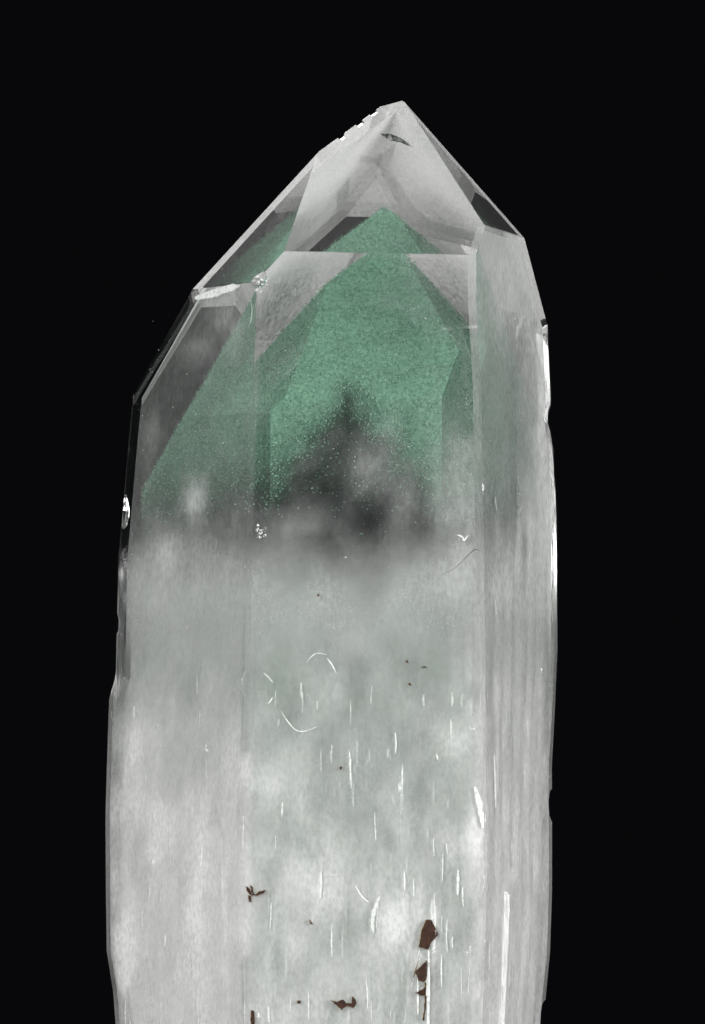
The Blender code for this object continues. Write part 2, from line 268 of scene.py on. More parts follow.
def furrow_depth(face, along, height):
    """How deep the surface lies under the flat face: main grooves, and fine furrows on them."""
    full, none = GROOVE_FADE
    share = min(1.0, max(0.0, (none - height) / (none - full)))
    turn = FACES.index(face) * FACE_SHIFT
    least, change = GROOVE_UNEVEN
    uneven = least + change * noise.noise(Vector((along * 6.0, height * 0.22, turn + 12.0)))
    depth = between(GROOVE_LINES[face], along) * share * max(0.0, uneven)
    edge = min(1.0, min(along, 1.0 - along) / FURROW_EDGE)
    lower = 1.0 - smooth_share(*FURROW_FADE, height)
    fine = FURROW_DEPTH
    for across, upward, shift, furrow in FURROWS:
        fine += furrow * noise.noise(Vector((along * across, height * upward, turn + shift)))
    return max(0.0, depth + edge * lower * fine)


def edge_wear(corner, height):
    """How wide an upright edge is worn here: keen in places and blunt in others."""
    along = Vector((corner % len(FACES) * 5.0, 0.0, height))
    return EDGE_WEAR * (0.25 + 0.75 * smooth_share(-0.35, 0.45, noise.noise(along * 0.21)))


def section(height, growth, inset=0.0, columns=1, furrowed=False):
    """One level outline of the crystal, anticlockwise from the front face's left corner."""
    points = []
    for number, face in enumerate(FACES):
        before, after = FACES[number - 1], FACES[(number + 1) % len(FACES)]
        distance = between(growth[face], height) - inset
        start = meeting_point(before, between(growth[before], height) - inset, face, distance, height)
        end = meeting_point(face, distance, after, between(growth[after], height) - inset, height)
        places = [column / columns for column in range(columns)]
        if furrowed:
            first, last = edge_wear(number, height), edge_wear(number + 1, height)
            width = (end - start).length
            places = [first / width] + places[1:] + [1.0 - last / width]
        for along in places:
            point = start.lerp(end, along)
            if furrowed:
                point -= outward(face) * furrow_depth(face, along, height)
            points.append(point)
    return points


def profile_heights(growth, low, high):
    return {float(height) for profile in growth.values() for height, _ in profile if low < height < high}


def wall(mesh, lower, upper):
    """Join two outlines by a ring of four-cornered faces."""
    for number, corner in enumerate(lower):
        after = (number + 1) % len(lower)
        mesh.faces.new((corner, lower[after], upper[after], upper[number]))


def prism_mesh(heights, growth, inset=0.0, columns=1, furrowed=False):
    """A closed prism with a section at each height."""
    mesh = bmesh.new()
    rings = []
    for height in sorted(heights):
        rings.append([mesh.verts.new(p) for p in section(height, growth, inset, columns, furrowed)])
    for lower, upper in zip(rings, rings[1:]):
        wall(mesh, lower, upper)
    mesh.faces.new(list(reversed(rings[0])))
    mesh.faces.new(rings[-1])
    return mesh


def split(mesh, point, direction, **options):
    """Cut a mesh's faces along a plane."""
    whole = mesh.verts[:] + mesh.edges[:] + mesh.faces[:]
    return bmesh.ops.bisect_plane(mesh, geom=whole, plane_co=point, plane_no=direction, **options)


def slice_off(mesh, point, direction):
    """Cut away what lies beyond a plane and close the cut."""
    cut = split(mesh, point, direction, clear_outer=True)
    rim = [item for item in cut["geom_cut"] if isinstance(item, bmesh.types.BMEdge)]
    if rim:
        bmesh.ops.edgeloop_fill(mesh, edges=rim)


def slice_caps(mesh, cap_distance):
    """Cut the top of a prism to the six cap planes."""
    for face in FACES:
        slice_off(mesh, cap_outward(face) * cap_distance[face], cap_outward(face))


def wear_ridges(mesh):
    """Take the keenness off the ridges between the caps, and between each cap and its prism face."""
    for face_a, face_b in RIDGES:
        away = (cap_outward(face_a) + cap_outward(face_b)).normalized()
        slice_off(mesh, cap_edge_point(face_a, face_b, RIDGE_HEIGHT) - away * RIDGE_WEAR, away)
    tilt = math.radians(CAP_TILT)
    for face in FACES:
        away = (cap_outward(face) + outward(face)).normalized()
        reach = between(PRISM_GROWTH[face], SHOULDER_HEIGHT)
        height = (CAP_DISTANCE[face] - reach * math.sin(tilt)) / math.cos(tilt)
        corner = outward(face) * reach + Vector((0.0, 0.0, height))
        slice_off(mesh, corner - away * RIDGE_WEAR, away)


# A conchoidal break's unevenness and its ripples: how strong and how close-set
BREAK_UNEVEN = (0.10, 1.6)
BREAK_RIPPLES = (0.025, 16.0)


def add_lump(mesh, centre, radii, turn, seed, detail=3):
    """Add a rough rounded cutter, with the ripples of a conchoidal break, to a mesh."""
    uneven, size = BREAK_UNEVEN
    ripples, close = BREAK_RIPPLES
    made = bmesh.ops.create_icosphere(mesh, subdivisions=detail, radius=1.0)
    frame_turn = Matrix.Translation(centre) @ Matrix.Rotation(math.radians(turn), 4, "Z")
    for vert in made["verts"]:
        ripple = 1.0 + uneven * noise.noise(vert.co * size + Vector((seed, 0.0, 0.0)))
        ripple += ripples * math.sin(vert.co.z * close + seed)
        vert.co = frame_turn @ Vector([value * radius * ripple for value, radius in zip(vert.co, radii)])


def add_block(mesh, centre, x_axis, y_axis, z_axis, sizes):
    axes = Matrix((x_axis, y_axis, z_axis)).transposed().to_4x4()
    scale = Matrix.Diagonal((*sizes, 1.0))
    bmesh.ops.create_cube(mesh, size=1.0, matrix=Matrix.Translation(centre) @ axes @ scale)


def chip_mesh():
    """All the nicks, rim chips and pits, as one set of cutters."""
    mesh = bmesh.new()
    for number, (face_a, face_b, height, half_length, bite) in enumerate(EDGE_NICKS):
        away = (outward(face_a) + outward(face_b)).normalized()
        radius = half_length * 0.8
        centre = edge_point(face_a, face_b, height) + away * (radius - bite)
        turn = math.degrees(math.atan2(away.y, away.x))
        add_lump(mesh, centre, (radius, radius * 0.9, half_length * 1.2), turn, SEED + number)
    for number, (face, across, half_width, bite) in enumerate(RIM_CHIPS):
        centre = face_point(face, across, 0.0) + outward(face) * (half_width * 0.5 - bite)
        centre.z = -half_width * 0.35
        radii = (half_width * 0.5, half_width, half_width * 0.7)
        add_lump(mesh, centre, radii, FACE_TURN[face], SEED + 40 + number)
    for number, (face, across, height, radius) in enumerate(PITS):
        centre = face_point(face, across, height) + outward(face) * radius * 0.2
        radii = (radius * 0.9, radius, radius * 1.2)
        add_lump(mesh, centre, radii, FACE_TURN[face], SEED + 80 + number, detail=2)
    return mesh


def tip_chip_mesh():
    """The broken tip, the steps up its left flank and the chipped front shoulder."""
    mesh = bmesh.new()
    up = Matrix.Rotation(math.radians(TIP_BREAK_TILT), 3, "Y") @ Vector((0.0, 0.0, 1.0))
    right = Vector((0.0, 1.0, 0.0)).cross(up)
    broken = cap_edge_point("front", "back_left", TIP_BREAK_HEIGHT)
    width, thickness = TIP_BREAK_BLOCK
    middle = broken + up * thickness / 2
    add_block(mesh, middle, right, up.cross(right), up, (width, width, thickness))

    cap_away = (cap_outward("front") + cap_outward("back_left")).normalized()
    for height, size, turn, bite in TIP_STEPS:
        corner = cap_edge_point("front", "back_left", height)
        x_axis = Matrix.Rotation(math.radians(turn), 3, cap_away) @ cap_away.orthogonal().normalized()
        y_axis = cap_away.cross(x_axis)
        middle = corner + cap_away * (STEP_THICKNESS / 2 - bite)
        add_block(mesh, middle, x_axis, y_axis, cap_away, (size, size * 0.7, STEP_THICKNESS))

    height, radius, bite = SHOULDER_CHIP
    away = (cap_outward("front") + cap_outward("left")).normalized()
    shoulder = edge_point("left", "front", height)
    add_lump(mesh, shoulder + away * (radius - bite), (radius, radius, radius), 0.0, SEED + 120)
    return mesh


def plate_mesh():
    mesh = bmesh.new()
    for face, proud, outline in PLATES:
        count = len(outline)
        middle_across = sum(across for across, _ in outline) / count
        middle_height = sum(height for _, height in outline) / count
        base, top = [], []
        for across, height in outline:
            base.append(mesh.verts.new(face_point(face, across, height) - outward(face) * PLATE_ROOT))
            top_across = across + (middle_across - across) * PLATE_BEVEL
            top_height = height + (middle_height - height) * PLATE_BEVEL
            top.append(mesh.verts.new(face_point(face, top_across, top_height) + outward(face) * proud))
        wall(mesh, base, top)
        mesh.faces.new(top)
        mesh.faces.new(list(reversed(base)))
    return mesh


def cap_point(face, across, height):
    """A point on a cap face."""
    tilt = math.radians(CAP_TILT)
    reach = (CAP_DISTANCE[face] - height * math.cos(tilt)) / math.sin(tilt)
    return outward(face) * reach + sideways(face) * across + Vector((0.0, 0.0, height))


def box_middle():
    """Where the crystal's long axis stands, with the middle of its box on the origin."""
    xs, ys = [], []
    for height in profile_heights(PRISM_GROWTH, -1.0, LOFT_TOP):
        for point in section(height, PRISM_GROWTH):
            xs.append(point.x)
            ys.append(point.y)
    return Vector((-(max(xs) + min(xs)) / 2, -(max(ys) + min(ys)) / 2, 0.0))


AXIS = box_middle()


def to_object(name, mesh):
    """Turn a mesh drawn in millimetres round the crystal's axis into an object in metres."""
    bmesh.ops.recalc_face_normals(mesh, faces=mesh.faces[:])
    mesh.transform(Matrix.Scale(MM, 4) @ Matrix.Translation(AXIS))
    data = bpy.data.meshes.new(name)
    mesh.to_mesh(data)
    mesh.free()
    item = bpy.data.objects.new(name, data)
    bpy.context.scene.collection.objects.link(item)
    return item


def combine(item, operation, mesh):
    """Cut or join another mesh with an object, for good."""
    other = to_object("tool", mesh)
    boolean = item.modifiers.new("tool", "BOOLEAN")
    boolean.operation = operation
    boolean.solver = "EXACT"
    boolean.object = other
    depsgraph = bpy.context.evaluated_depsgraph_get()
    result = bpy.data.meshes.new_from_object(item.evaluated_get(depsgraph), depsgraph=depsgraph)
    item.modifiers.clear()
    item.data = result
    bpy.data.objects.remove(other, do_unlink=True)


def fill(tree, node, inputs):
    """Give a node's inputs their numbers or links."""
    for name, value in inputs.items():
        if isinstance(value, bpy.types.NodeSocket):
            tree.links.new(value, node.inputs[name])
        else:
            node.inputs[name].default_value = value


def place(tree, kind, inputs=None, **settings):
    """Add a node, with its settings and its inputs' numbers or links."""
    made = tree.nodes.new(kind)
    for name, value in settings.items():
        setattr(made, name, value)
    fill(tree, made, inputs or {})
    return made


def calculate(tree, operation, *values, clamp=False):
    """Work out one value from others."""
    inputs = dict(enumerate(values))
    return place(tree, "ShaderNodeMath", inputs, operation=operation, use_clamp=clamp).outputs[0]


def product(tree, first, second):
    return calculate(tree, "MULTIPLY", first, second, clamp=True)


def spread(tree, value, low, high):
    """Stretch a value between 0 and 1 over another range."""
    inputs = {"Value": value, "To Min": low, "To Max": high}
    return place(tree, "ShaderNodeMapRange", inputs).outputs["Result"]


def smooth_cut(tree, value, low, high):
    """Rise smoothly from 0 where a value is low to 1 where it is high."""
    inputs = {"Value": value, "From Min": low, "From Max": high}
    return place(tree, "ShaderNodeMapRange", inputs, interpolation_type="SMOOTHSTEP").outputs["Result"]


def new_group(name, inputs, outputs):
    """Start a shader node group with named number inputs and named outputs."""
    group = bpy.data.node_groups.new(name, "ShaderNodeTree")
    for label, value in inputs.items():
        socket = group.interface.new_socket(label, in_out="INPUT", socket_type="NodeSocketFloat")
        socket.default_value = value
    for label in outputs:
        group.interface.new_socket(label, in_out="OUTPUT", socket_type="NodeSocketFloat")
    source = group.nodes.new("NodeGroupInput").outputs
    target = group.nodes.new("NodeGroupOutput").inputs
    return group, source, target


def drift_group():
    """Cloudy patches: noise at one size, drawn out lengthwise, cut between two levels."""
    inputs = {"Size": 1.0, "Lengthwise": 1.0, "Low": 0.4, "High": 0.6, "Detail": 3.0}
    group, source, target = new_group("drift", inputs, ["Cloud"])
    where = place(group, "ShaderNodeTexCoord").outputs["Object"]
    parts = place(group, "ShaderNodeSeparateXYZ", {"Vector": where}).outputs
    drawn = calculate(group, "DIVIDE", parts["Z"], source["Lengthwise"])
    point = place(group, "ShaderNodeCombineXYZ", {"X": parts["X"], "Y": parts["Y"], "Z": drawn})
    inputs = {
        "Vector": point.outputs[0], "W": 0.0, "Scale": calculate(group, "DIVIDE", 1.0 / MM, source["Size"]),
        "Detail": source["Detail"], "Roughness": 0.6,
    }
    clouds = place(group, "ShaderNodeTexNoise", inputs, noise_dimensions="4D").outputs["Fac"]
    group.links.new(smooth_cut(group, clouds, source["Low"], source["High"]), target["Cloud"])
    return group


DRIFT = drift_group()


def drift(tree, **values):
    """Place the drift group with its values and return its cloud."""
    return place(tree, "ShaderNodeGroup", values, node_tree=DRIFT).outputs["Cloud"]


def stored(tree, name):
    """Read a value that is stored on the mesh."""
    return place(tree, "ShaderNodeAttribute", attribute_name=name).outputs["Fac"]


def blend_colour(tree, share, first, second):
    """Mix two colours by a share."""
    first, second = ((*end, 1.0) if isinstance(end, tuple) else end for end in (first, second))
    return place(tree, "ShaderNodeMix", {0: share, 6: first, 7: second}, data_type="RGBA").outputs[2]


def new_material(name):
    material = bpy.data.materials.new(name)
    material.use_nodes = True
    tree = material.node_tree
    return material, tree, tree.nodes["Principled BSDF"]


QUARTZ_IOR = 1.544
SHARP_ANGLE = 16.0

# The heights between which the fine grain fades out, and how far that line wavers
GRAIN_FADE = (46.0, 24.0)
GRAIN_WAVER = 10.0


def grained_part(tree):
    """A smooth rise from 0 in the glassy upper part to 1 in the furrowed lower one."""
    where = place(tree, "ShaderNodeTexCoord").outputs["Object"]
    height = place(tree, "ShaderNodeSeparateXYZ", {"Vector": where}).outputs["Z"]
    ragged = place(tree, "ShaderNodeTexNoise", {"Vector": where, "Scale": 0.22 / MM, "Detail": 4.0})
    middle = calculate(tree, "SUBTRACT", ragged.outputs["Fac"], 0.5)
    waver = calculate(tree, "MULTIPLY", middle, GRAIN_WAVER)
    return smooth_cut(tree, calculate(tree, "MULTIPLY_ADD", height, 1.0 / MM, waver), *GRAIN_FADE)


def quartz_material():
    """Clear quartz: smooth and glassy above, furrowed and slightly frosted below."""
    material, tree, shader = new_material("quartz")
    low = grained_part(tree)
    frost = product(tree, low, drift(tree, Size=0.9, Lengthwise=5.0, Low=0.35, High=0.75))
    streaks = drift(tree, Size=0.22, Lengthwise=24.0, Low=0.25, High=0.75, Detail=2.0)
    relief = {"Strength": 0.25, "Distance": 0.06 * MM, "Height": product(tree, low, streaks)}
    fill(tree, shader, {
        "Base Color": (0.992, 0.996, 0.990, 1.0),
        "Roughness": spread(tree, frost, 0.02, 0.30),
        "IOR": QUARTZ_IOR,
        "Transmission Weight": 1.0,
        "Normal": place(tree, "ShaderNodeBump", relief).outputs["Normal"],
    })
    open_to_lamps = place(tree, "ShaderNodeBsdfTransparent", {"Color": (0.915, 0.93, 0.915, 1.0)})
    path = place(tree, "ShaderNodeLightPath")
    inputs = {0: path.outputs["Is Shadow Ray"], 1: shader.outputs[0], 2: open_to_lamps.outputs[0]}
    mixed = place(tree, "ShaderNodeMixShader", inputs)
    tree.links.new(mixed.outputs[0], tree.nodes["Material Output"].inputs["Surface"])
    return material


def skin_heights():
    heights = {number * SKIN_STEP for number in range(int(FURROW_TOP / SKIN_STEP) + 1)}
    heights = {height for height in heights if height == 0.0 or height > SKIN_STEP / 2}
    return heights | profile_heights(PRISM_GROWTH, FURROW_TOP, LOFT_TOP) | {LOFT_TOP}


def make_skin():
    mesh = prism_mesh(skin_heights(), PRISM_GROWTH, columns=SKIN_COLUMNS, furrowed=True)
    slice_caps(mesh, CAP_DISTANCE)
    wear_ridges(mesh)
    skin = to_object("quartz_skin", mesh)
    combine(skin, "UNION", plate_mesh())
    combine(skin, "DIFFERENCE", chip_mesh())
    combine(skin, "DIFFERENCE", tip_chip_mesh())
    skin.data.shade_smooth()
    skin.data.set_sharp_from_angle(angle=math.radians(SHARP_ANGLE))
    skin.data.materials.clear()
    skin.data.materials.append(quartz_material())
    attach(skin, "root")
    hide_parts("quartz_shaft", "quartz_point")


make_skin()

# The fuchsite phantom.
# Green chromium mica that settled on the faces of an older, smaller tip and was then grown over. It
# is a scatter of scales in a thin layer: close-set at the top and edges, bare low on the front.
PHANTOM_PRISM = {
    "front": 12.3, "right": 10.0, "back_right": 10.8,
    "back": 12.8, "back_left": 12.7, "left": 13.7,
}
PHANTOM_CAP = {
    "front": 42.4, "right": 42.9, "back_right": 40.7,
    "back": 43.2, "back_left": 38.8, "left": 42.7,
}
COAT = 0.5
HEM_HEIGHT = 42.15
SCALE_COUNT = 90000
SCALE_SIZE = (0.05, 0.15)
SCALE_LEAN = 0.5
SCALE_LENGTH = (0.50, 0.75)
SCALE_WIDTH = (0.30, 0.55)
MICA_IOR = 1.6

# How much mica settled on each face. It thins out backwards across the right face, and down the
# rear left one
FACE_COVER = {
    "front": 1.0, "right": 0.95, "back_right": 0.06,
    "back": 0.05, "back_left": 0.80, "left": 0.75,
}
RIGHT_FADE = (-3.5, 2.5)
RIGHT_LOSS = 0.55
BACK_LEFT_FADE = (56.0, 58.5)
BACK_LEFT_LOSS = 0.88
HEM_FADE = (0.2, 9.0)

# The mica's patchiness and the bare patch's ragged rim, as how close-set and how strong
EVEN_COVER = 0.85
PATCHES = [(0.35, 0.35), (1.1, 0.2)]
BARE_RAGGED = [(0.45, 1.5), (1.3, 0.7)]

# The bare patch low on the front: its top, its feet and how softly it begins
BARE_TOP = (-2.5, 55.0)
BARE_FEET = (-10.4, 4.2, 44.5)
BARE_SOFTNESS = 2.6
BARE_DEPTH = -8.0
BARENESS = 0.95
TENT_STEP = 0.9


def grid_cuts(mesh, step):
    """Cut a mesh's faces into small ones by evenly spaced planes along each axis."""
    for direction in (Vector((1.0, 0.0, 0.0)), Vector((0.0, 1.0, 0.0)), Vector((0.0, 0.0, 1.0))):
        reach = [vert.co.dot(direction) for vert in mesh.verts]
        for number in range(int((max(reach) - min(reach)) / step)):
            split(mesh, direction * (min(reach) + step * (number + 0.5)), direction)


def facing(normal):
    """The crystal face whose direction a normal is nearest to."""
    return max(FACES, key=lambda face: outward(face).dot(normal))


def mark_vertices(mesh, name, value_at):
    """Store on each vertex what value_at makes of its place, the crystal face there and its normal."""
    layer = mesh.verts.layers.float.new(name)
    mesh.normal_update()
    for vert in mesh.verts:
        vert[layer] = min(1.0, max(0.0, value_at(vert.co, facing(vert.normal), vert.normal)))


def open_tip(heights, growth, cap_distance, inset):
    """A prism under six caps, moved inwards and open below."""
    mesh = prism_mesh(heights, growth, inset)
    slice_caps(mesh, {face: cap_distance[face] - inset for face in FACES})
    bmesh.ops.recalc_face_normals(mesh, faces=mesh.faces[:])
    foot = [face for face in mesh.faces if face.normal.z < -0.9]
    bmesh.ops.delete(mesh, geom=foot, context="FACES_ONLY")
    return mesh


def tent_mesh():
    growth = {face: [(HEM_HEIGHT, PHANTOM_PRISM[face])] for face in FACES}
    return open_tip({HEM_HEIGHT, LOFT_TOP}, growth, PHANTOM_CAP, COAT / 2)


def bare_share(point):
    """How bare the tent is here: 1 in the middle of the bare patch, 0 outside it."""
    if point.y > BARE_DEPTH:
        return 0.0
    top_across, top_height = BARE_TOP
    left_foot, right_foot, foot_height = BARE_FEET
    down = (top_height - point.z) / (top_height - foot_height)
    left = top_across + (left_foot - top_across) * down
    right = top_across + (right_foot - top_across) * down
    inside = min(point.x - left, right - point.x, (top_height - point.z))
    ragged = sum(strength * noise.noise(point * close) for close, strength in BARE_RAGGED)
    return smooth_share(-BARE_SOFTNESS * 0.5, BARE_SOFTNESS, inside + ragged)


def cover_at(point, face, _normal=None):
    """The share of the layer that is green here."""
    patchy = EVEN_COVER + sum(strength * noise.noise(point * close) for close, strength in PATCHES)
    if face == "right":
        patchy *= 1.0 - RIGHT_LOSS * smooth_share(*RIGHT_FADE, sideways(face).dot(point))
    if face == "back_left":
        patchy *= 1.0 - BACK_LEFT_LOSS * (1.0 - smooth_share(*BACK_LEFT_FADE, point.z))
    low, high = HEM_FADE
    down = smooth_share(HEM_HEIGHT + low, HEM_HEIGHT + high, point.z)
    return FACE_COVER[face] * patchy * down * (1.0 - BARENESS * bare_share(point))


def mica_colour(tree):
    shade = drift(tree, Size=0.3, Low=0.3, High=0.7, Detail=2.0)
    return blend_colour(tree, shade, (0.082, 0.208, 0.136), (0.175, 0.350, 0.246))


def dust_material():
    """The green dust between the scales, thin enough in places to see through."""
    material, tree, shader = new_material("fuchsite_dust")
    specks = drift(tree, Size=0.14, Low=0.10, High=0.46, Detail=1.0)
    alpha = product(tree, stored(tree, "cover"), specks)
    fill(tree, shader, {"Base Color": mica_colour(tree), "Roughness": 0.6, "Alpha": alpha})
    return material


def scale_material():
    """Pearly green mica scales."""
    material, tree, shader = new_material("fuchsite_scales")
    gloss = spread(tree, drift(tree, Size=0.6, Low=0.3, High=0.7, Detail=1.0), 0.25, 0.55)
    fill(tree, shader, {"Base Color": mica_colour(tree), "Roughness": gloss, "IOR": MICA_IOR})
    return material


def make_dust():
    mesh = tent_mesh()
    grid_cuts(mesh, TENT_STEP)
    mark_vertices(mesh, "cover", cover_at)
    dust = to_object("phantom_dust", mesh)
    dust.data.materials.append(dust_material())
    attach(dust, "root")


def make_scales():
    """The scales: small four-sided flakes, lying roughly along the face that they settled on."""
    chance = random.Random(SEED)
    sheet = tent_mesh()
    bmesh.ops.triangulate(sheet, faces=sheet.faces[:])
    sheet.normal_update()
    parts, areas = [], []
    for part in sheet.faces:
        face = facing(part.normal)
        parts.append(([vert.co.copy() for vert in part.verts], part.normal.copy(), face))
        areas.append(part.calc_area() * FACE_COVER[face])
    sheet.free()
    corners, quads = [], []
    while len(quads) < SCALE_COUNT:
        (a, b, c), normal, face = chance.choices(parts, areas)[0]
        u, v = chance.random(), chance.random()
        if u + v > 1.0:
            u, v = 1.0 - u, 1.0 - v
        middle = a + (b - a) * u + (c - a) * v
        if chance.random() * FACE_COVER[face] > cover_at(middle, face):
            continue
        middle = middle + normal * chance.uniform(-COAT / 2, COAT / 2)
        lean = (normal + Vector([chance.gauss(0.0, SCALE_LEAN) for _ in range(3)])).normalized()
        first = lean.orthogonal().normalized()
        first.rotate(Matrix.Rotation(chance.uniform(0.0, math.tau), 3, lean))
        second = lean.cross(first)
        low, high = SCALE_SIZE
        size = low + (high - low) * chance.random() ** 2
        length, width = size * chance.uniform(*SCALE_LENGTH), size * chance.uniform(*SCALE_WIDTH)
        start = len(corners)
        corners += [middle + first * length, middle + second * width]
        corners += [middle - first * length * chance.uniform(0.6, 1.0), middle - second * width]
        quads.append((start, start + 1, start + 2, start + 3))
    data = bpy.data.meshes.new("phantom_scales")
    data.from_pydata([(corner + AXIS) * MM for corner in corners], [], quads)
    scales = bpy.data.objects.new("phantom_scales", data)
    bpy.context.scene.collection.objects.link(scales)
    data.materials.append(scale_material())
    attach(scales, "root")
    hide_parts("fuchsite_phantom")


make_dust()
make_scales()

# The milk.
# Countless tiny fluid bubbles cloud the crystal's lower half. A thin haze hangs above them, and
# frosts the rear cap faces, where its white is partly a painted reflection of the milky root. Nested
# clouds, each thinning out upwards, let the eye sink in.
MILK_DEPTHS = [
    # the depth under the skin, the cloud's top, where it starts and is full, its thickest
    (0.4, 48.0, 43.0, 20.0, 0.52),
    (1.5, 46.0, 44.0, 31.0, 0.70),
    (3.2, 41.5, 43.0, 33.0, 0.92),
    (5.8, 41.6, 43.0, 36.0, 1.00),
]

# The clouds' mesh, and how far below its top each cloud starts to thin out
MILK_STEP = 0.6
MILK_COLUMNS = 30
MILK_LID_FADE = 6.0

# In front the milk begins lower under the bare patch: how much, its middle and its half width, and
# how much higher it begins beside it
MILK_DROP = 2.6
MILK_DROP_MIDDLE = -2.5
MILK_DROP_WIDTH = 5.0
MILK_LIFT = 0.4

# The milk's whiteness under each face where it begins, and how much whiter it is at the root
FACE_WHITE = {
    "front": 0.10, "right": 0.60, "back_right": 0.40,
    "back": 0.40, "back_left": 0.40, "left": 0.25,
}
ROOT_WHITE = {
    "front": 0.44, "right": 0.50, "back_right": 0.50,
    "back": 0.50, "back_left": 0.50, "left": 0.84,
}
HAZE_GREY = 0.57
MILK_GREY = (0.262, 0.309, 0.278)
MILK_WHITE = (0.97, 0.953, 0.957)

# Between which heights the milk's whiteness grows, and its lengthwise streaks, and up to which
# height the single clouds belong to the milk as well as to the haze
WHITE_RISE = (46.0, 8.0)
STREAK_RISE = (34.0, 14.0)
MILK_TOP = 36.0

# How far the haze lies under the skin, and where it begins
HAZE_DEPTH = 0.9
HAZE_FOOT = 31.0

# The haze's thickness under each prism face and each cap face
FACE_HAZE = {
    "front": 0.02, "right": 0.34, "back_right": 0.10,
    "back": 0.015, "back_left": 0.10, "left": 0.13,
}
# Under the rear caps the haze is thick and white: partly frost, partly a painted reflection of the milky
# root that these faces mirror inwards
CAP_HAZE_AND_PAINTED_REFLECTION = {
    "front": 0.04, "right": 0.04, "back_right": 0.88,
    "back": 0.90, "back_left": 0.85, "left": 0.07,
}

# How far a cap face looks up at the least, the haze's mesh, and how far above its foot it is full
CAP_SLOPE = 0.35
HAZE_STEP = 0.9
HAZE_RISE = 8.0

# The haze thickens towards the milk and has wisps above it: their heights and thickest
THICKENING = (46.0, 36.0, 0.40)
WISPS = (56.0, 48.0, 0.12)

# Single clouds: the face that they lie under, the place across it, the height, the half width, the
# half height and the thickness
CLOUDS = [
    ("left", 0.8, 45.3, 1.1, 1.4, 0.62),
    ("left", -2.2, 41.5, 3.0, 1.3, 0.30),
    ("left", -5.0, 26.8, 1.4, 3.6, 0.45),
    ("left", 6.1, 25.6, 1.5, 3.4, 0.40),
    ("left", -1.9, 20.6, 1.5, 3.0, 0.40),
    ("left", 2.6, 19.6, 1.3, 3.4, 0.45),
    ("left", -6.2, 12.5, 1.2, 4.0, 0.50),
    ("left", 2.2, 12.0, 2.2, 4.6, 0.40),
    ("left", 3.4, 58.9, 1.7, 1.1, 0.32),
    ("left", 0.6, 56.6, 2.0, 1.0, 0.22),
    ("left", 4.9, 57.0, 1.0, 1.6, 0.20),
    ("left", -4.6, 50.4, 1.0, 1.6, 0.16),
    ("front", -1.4, 47.6, 1.6, 2.2, 0.22),
    ("front", 1.2, 45.4, 1.2, 2.2, 0.20),
    ("front", -6.2, 43.4, 1.8, 0.8, 0.20),
    ("front", 5.6, 45.4, 2.2, 4.6, 0.34),
    ("front", 5.0, 27.4, 1.8, 1.6, 0.50),
    ("front", -8.6, 24.5, 1.8, 2.4, 0.40),
    ("front", -5.2, 16.6, 2.6, 2.2, 0.35),
    ("front", 0.9, 14.2, 1.5, 2.5, 0.50),
    ("front", 6.6, 21.0, 1.1, 3.2, 0.50),
    ("front", -3.0, 34.6, 2.4, 1.6, 0.20),
    ("right", -3.2, 38.8, 1.3, 1.8, 0.40),
    ("right", -0.8, 41.0, 1.2, 1.4, 0.40),
    ("right", 6.0, 50.0, 3.4, 11.0, 0.55),
    ("right", -1.0, 62.0, 8.0, 5.0, 0.40),
    ("right", -5.6, 38.0, 1.2, 3.0, 0.35),
]


def cloud_at(point, face):
    """How thick the single clouds are at a place."""
    across = sideways(face).dot(point)
    total = 0.0
    for cloud_face, middle, height, half_width, half_height, thickness in CLOUDS:
        if cloud_face == face:
            apart = ((across - middle) / half_width) ** 2 + ((point.z - height) / half_height) ** 2
            total += thickness * math.exp(-apart)
    return total


def billow(point, size, turn=0.0):
    """Cloudy unevenness, between about -1 and 1, at two sizes, drawn out lengthwise."""
    drawn = Vector((point.x, point.y, point.z * 0.6)) / size
    shift = Vector((turn * 7.0, turn * 3.0, 0.0))
    return noise.noise(drawn + shift) + 0.5 * noise.noise(drawn * 2.3 + shift)


def milk_drop(point, face):
    if face != "front":
        return 0.0
    apart = (point.x - MILK_DROP_MIDDLE) / MILK_DROP_WIDTH
    return MILK_DROP * math.exp(-(apart**2)) - MILK_LIFT


def haze_at(point, face, normal):
    """The thickness of the haze round the phantom."""
    # Under the caps: frost, which on the rear caps is partly a painted reflection
    if normal.z > CAP_SLOPE:
        return CAP_HAZE_AND_PAINTED_REFLECTION[face] * (1.0 + 0.15 * billow(point, 2.5))
    ragged = milk_drop(point, face) + 3.0 * billow(point, 3.6)
    none, full, most = THICKENING
    rise = most * smooth_share(none, full, point.z + ragged)
    none, full, most = WISPS
    wisps = max(0.0, billow(point, 1.6, 2.0)) * most * smooth_share(none, full, point.z)
    here = FACE_HAZE[face] + rise + wisps + cloud_at(point, face) * (1.0 + 0.4 * billow(point, 1.0))
    return here * smooth_share(HAZE_FOOT, HAZE_FOOT + HAZE_RISE, point.z)


def milk_material(name, grain):
    """White cloud whose thickness and whiteness are stored along its surface."""
    material, tree, shader = new_material(name)
    specks = drift(tree, Size=grain, Lengthwise=2.0, Low=0.2, High=0.8, Detail=2.0)
    alpha = product(tree, stored(tree, "thickness"), spread(tree, specks, 0.7, 1.2))
    colour = blend_colour(tree, stored(tree, "whiteness"), MILK_GREY, MILK_WHITE)
    fill(tree, shader, {"Base Color": colour, "Roughness": 0.75, "Alpha": alpha})
    return material


def whiteness_at(point, face, _normal):
    """Greyer where the milk begins and whiter towards the root and the outer edges."""
    streaks = billow(Vector((point.x, point.y, point.z * 0.22)), 0.6, 6.0)
    streaks *= smooth_share(*STREAK_RISE, point.z)
    root = ROOT_WHITE[face] * smooth_share(*WHITE_RISE, point.z)
    local = 0.45 * cloud_at(point, face) if point.z < MILK_TOP else 0.0
    return FACE_WHITE[face] + root + local + 0.17 * billow(point, 2.2, 5.0) + 0.27 * streaks


